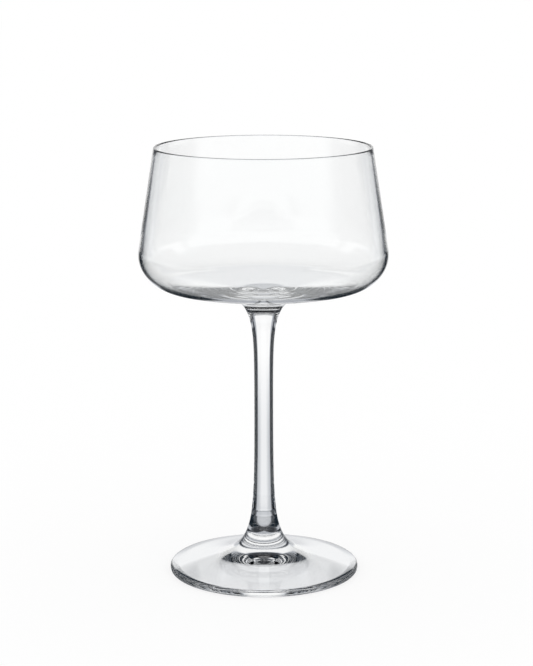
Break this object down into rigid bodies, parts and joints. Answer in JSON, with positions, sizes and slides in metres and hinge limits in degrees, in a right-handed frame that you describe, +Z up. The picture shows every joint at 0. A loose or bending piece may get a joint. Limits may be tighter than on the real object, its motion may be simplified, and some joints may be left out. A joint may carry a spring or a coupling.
{
  "type": "dessert glass",
  "caption": "Clear stemmed dessert glass: a wide shallow bowl that narrows to the rim, on a slender solid stem and a flat round foot, for serving desserts or drinks.",
  "frame": {"origin": "centre of the foot's resting plane on the table", "axes": "+Z up along the axis of the stem, from the foot to the rim; the glass is round, so X and Y are free"},
  "size_m": [0.095, 0.095, 0.165],
  "materials": {
    "clear_glass": "polished"
  },
  "bodies": {
    "root": {"bowl": "clear_glass", "stem": "clear_glass", "foot": "clear_glass"}
  },
  "joints": []
}
